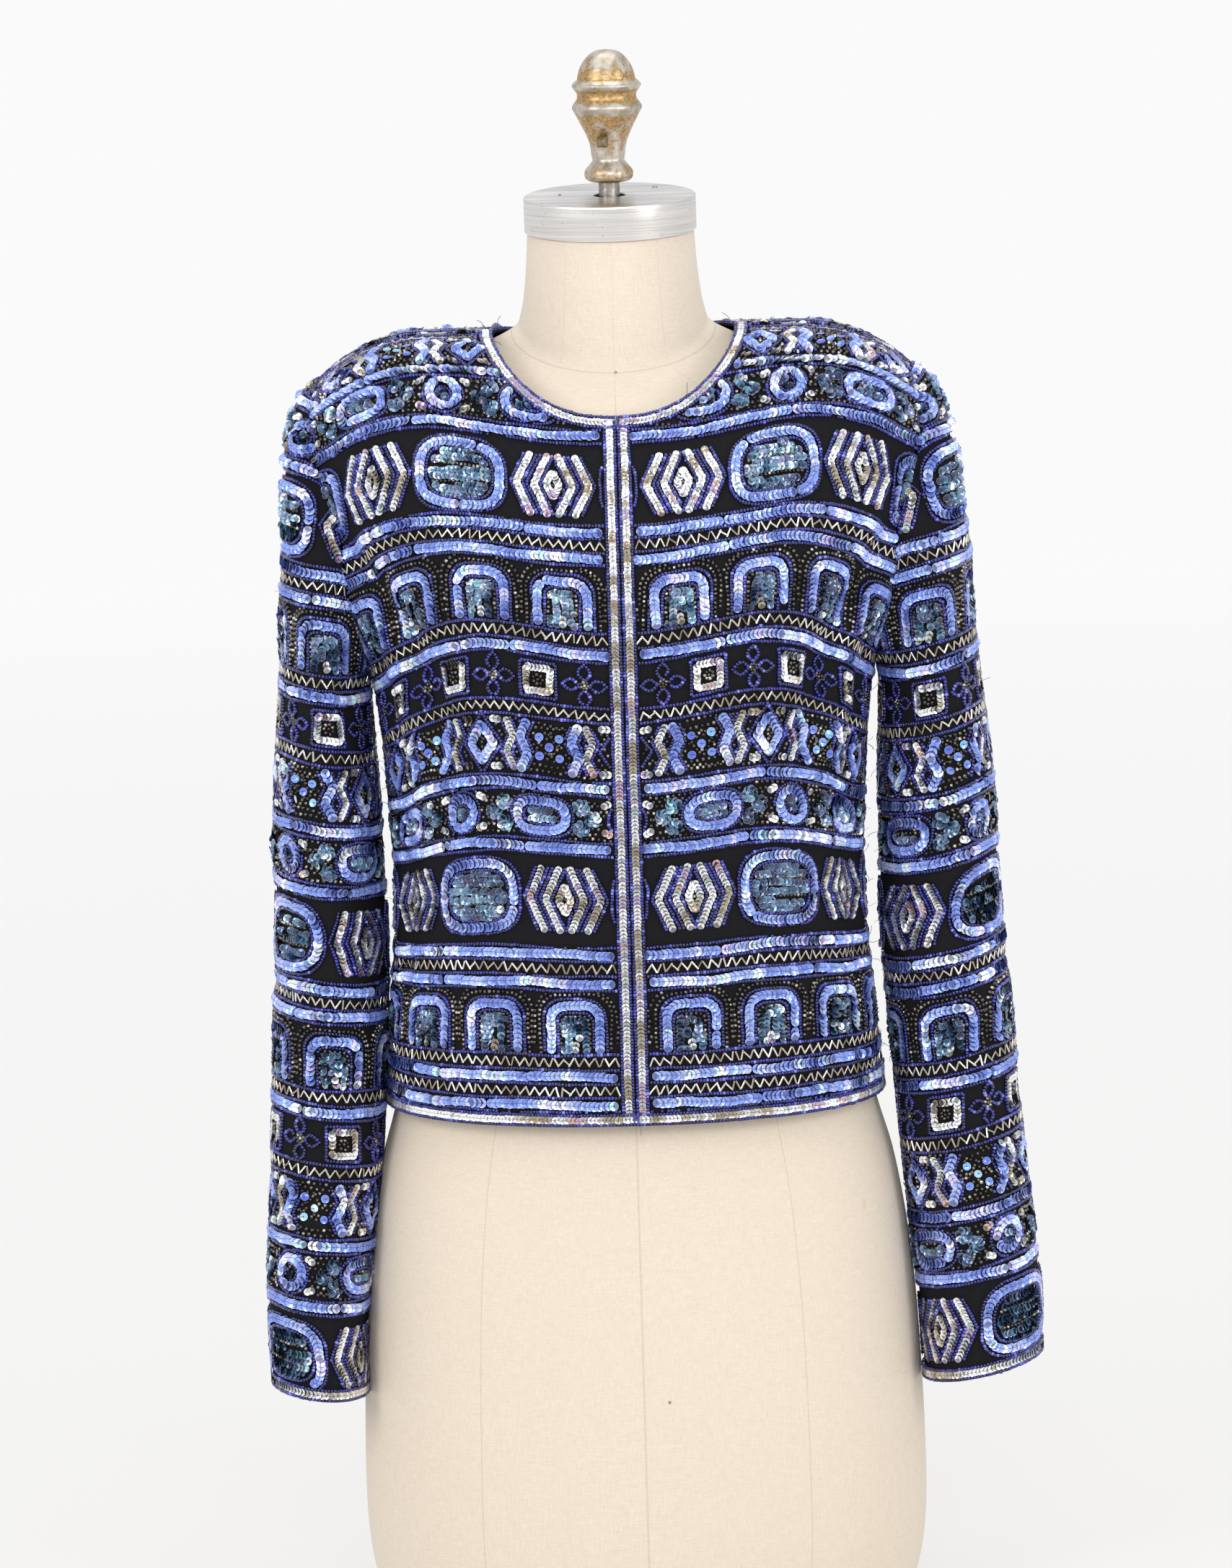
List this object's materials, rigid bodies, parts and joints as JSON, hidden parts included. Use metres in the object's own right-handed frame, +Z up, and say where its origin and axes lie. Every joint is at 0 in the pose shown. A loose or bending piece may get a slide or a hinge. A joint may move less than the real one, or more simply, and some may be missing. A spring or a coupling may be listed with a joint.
{
  "type": "short sequin evening jacket with long sleeves on a limbless dress form",
  "caption": "Short collarless beaded and sequinned jacket with long sleeves, hooked at the neck, on a covered limbless dress form with a metal neck cap and a turned finial.",
  "frame": {"origin": "middle of the flat foot that the dress form stands on", "axes": "+Z up along the form's neck, -Y to the jacket's front, +X to the viewer's right of a viewer who faces the front"},
  "size_m": [0.4896, 0.2543, 0.9866],
  "materials": {
    "sequinned_cloth": "black crepe covered with blue sequins and beads",
    "linen_cover": "plain cream linen",
    "brushed_aluminium": "brushed",
    "dull_steel": "dull",
    "worn_gilt": "worn gilt paint over cast metal"
  },
  "bodies": {
    "root": {"front_left": "sequinned_cloth", "front_right": "sequinned_cloth", "back": "sequinned_cloth", "sleeve_left": "sequinned_cloth", "sleeve_right": "sequinned_cloth", "neck_hook_and_eye": "dull_steel", "form_torso": "linen_cover", "form_neck_cap": "brushed_aluminium", "form_finial_rod": "dull_steel", "form_finial": "worn_gilt", "form_set_bolt": "dull_steel"}
  },
  "joints": []
}
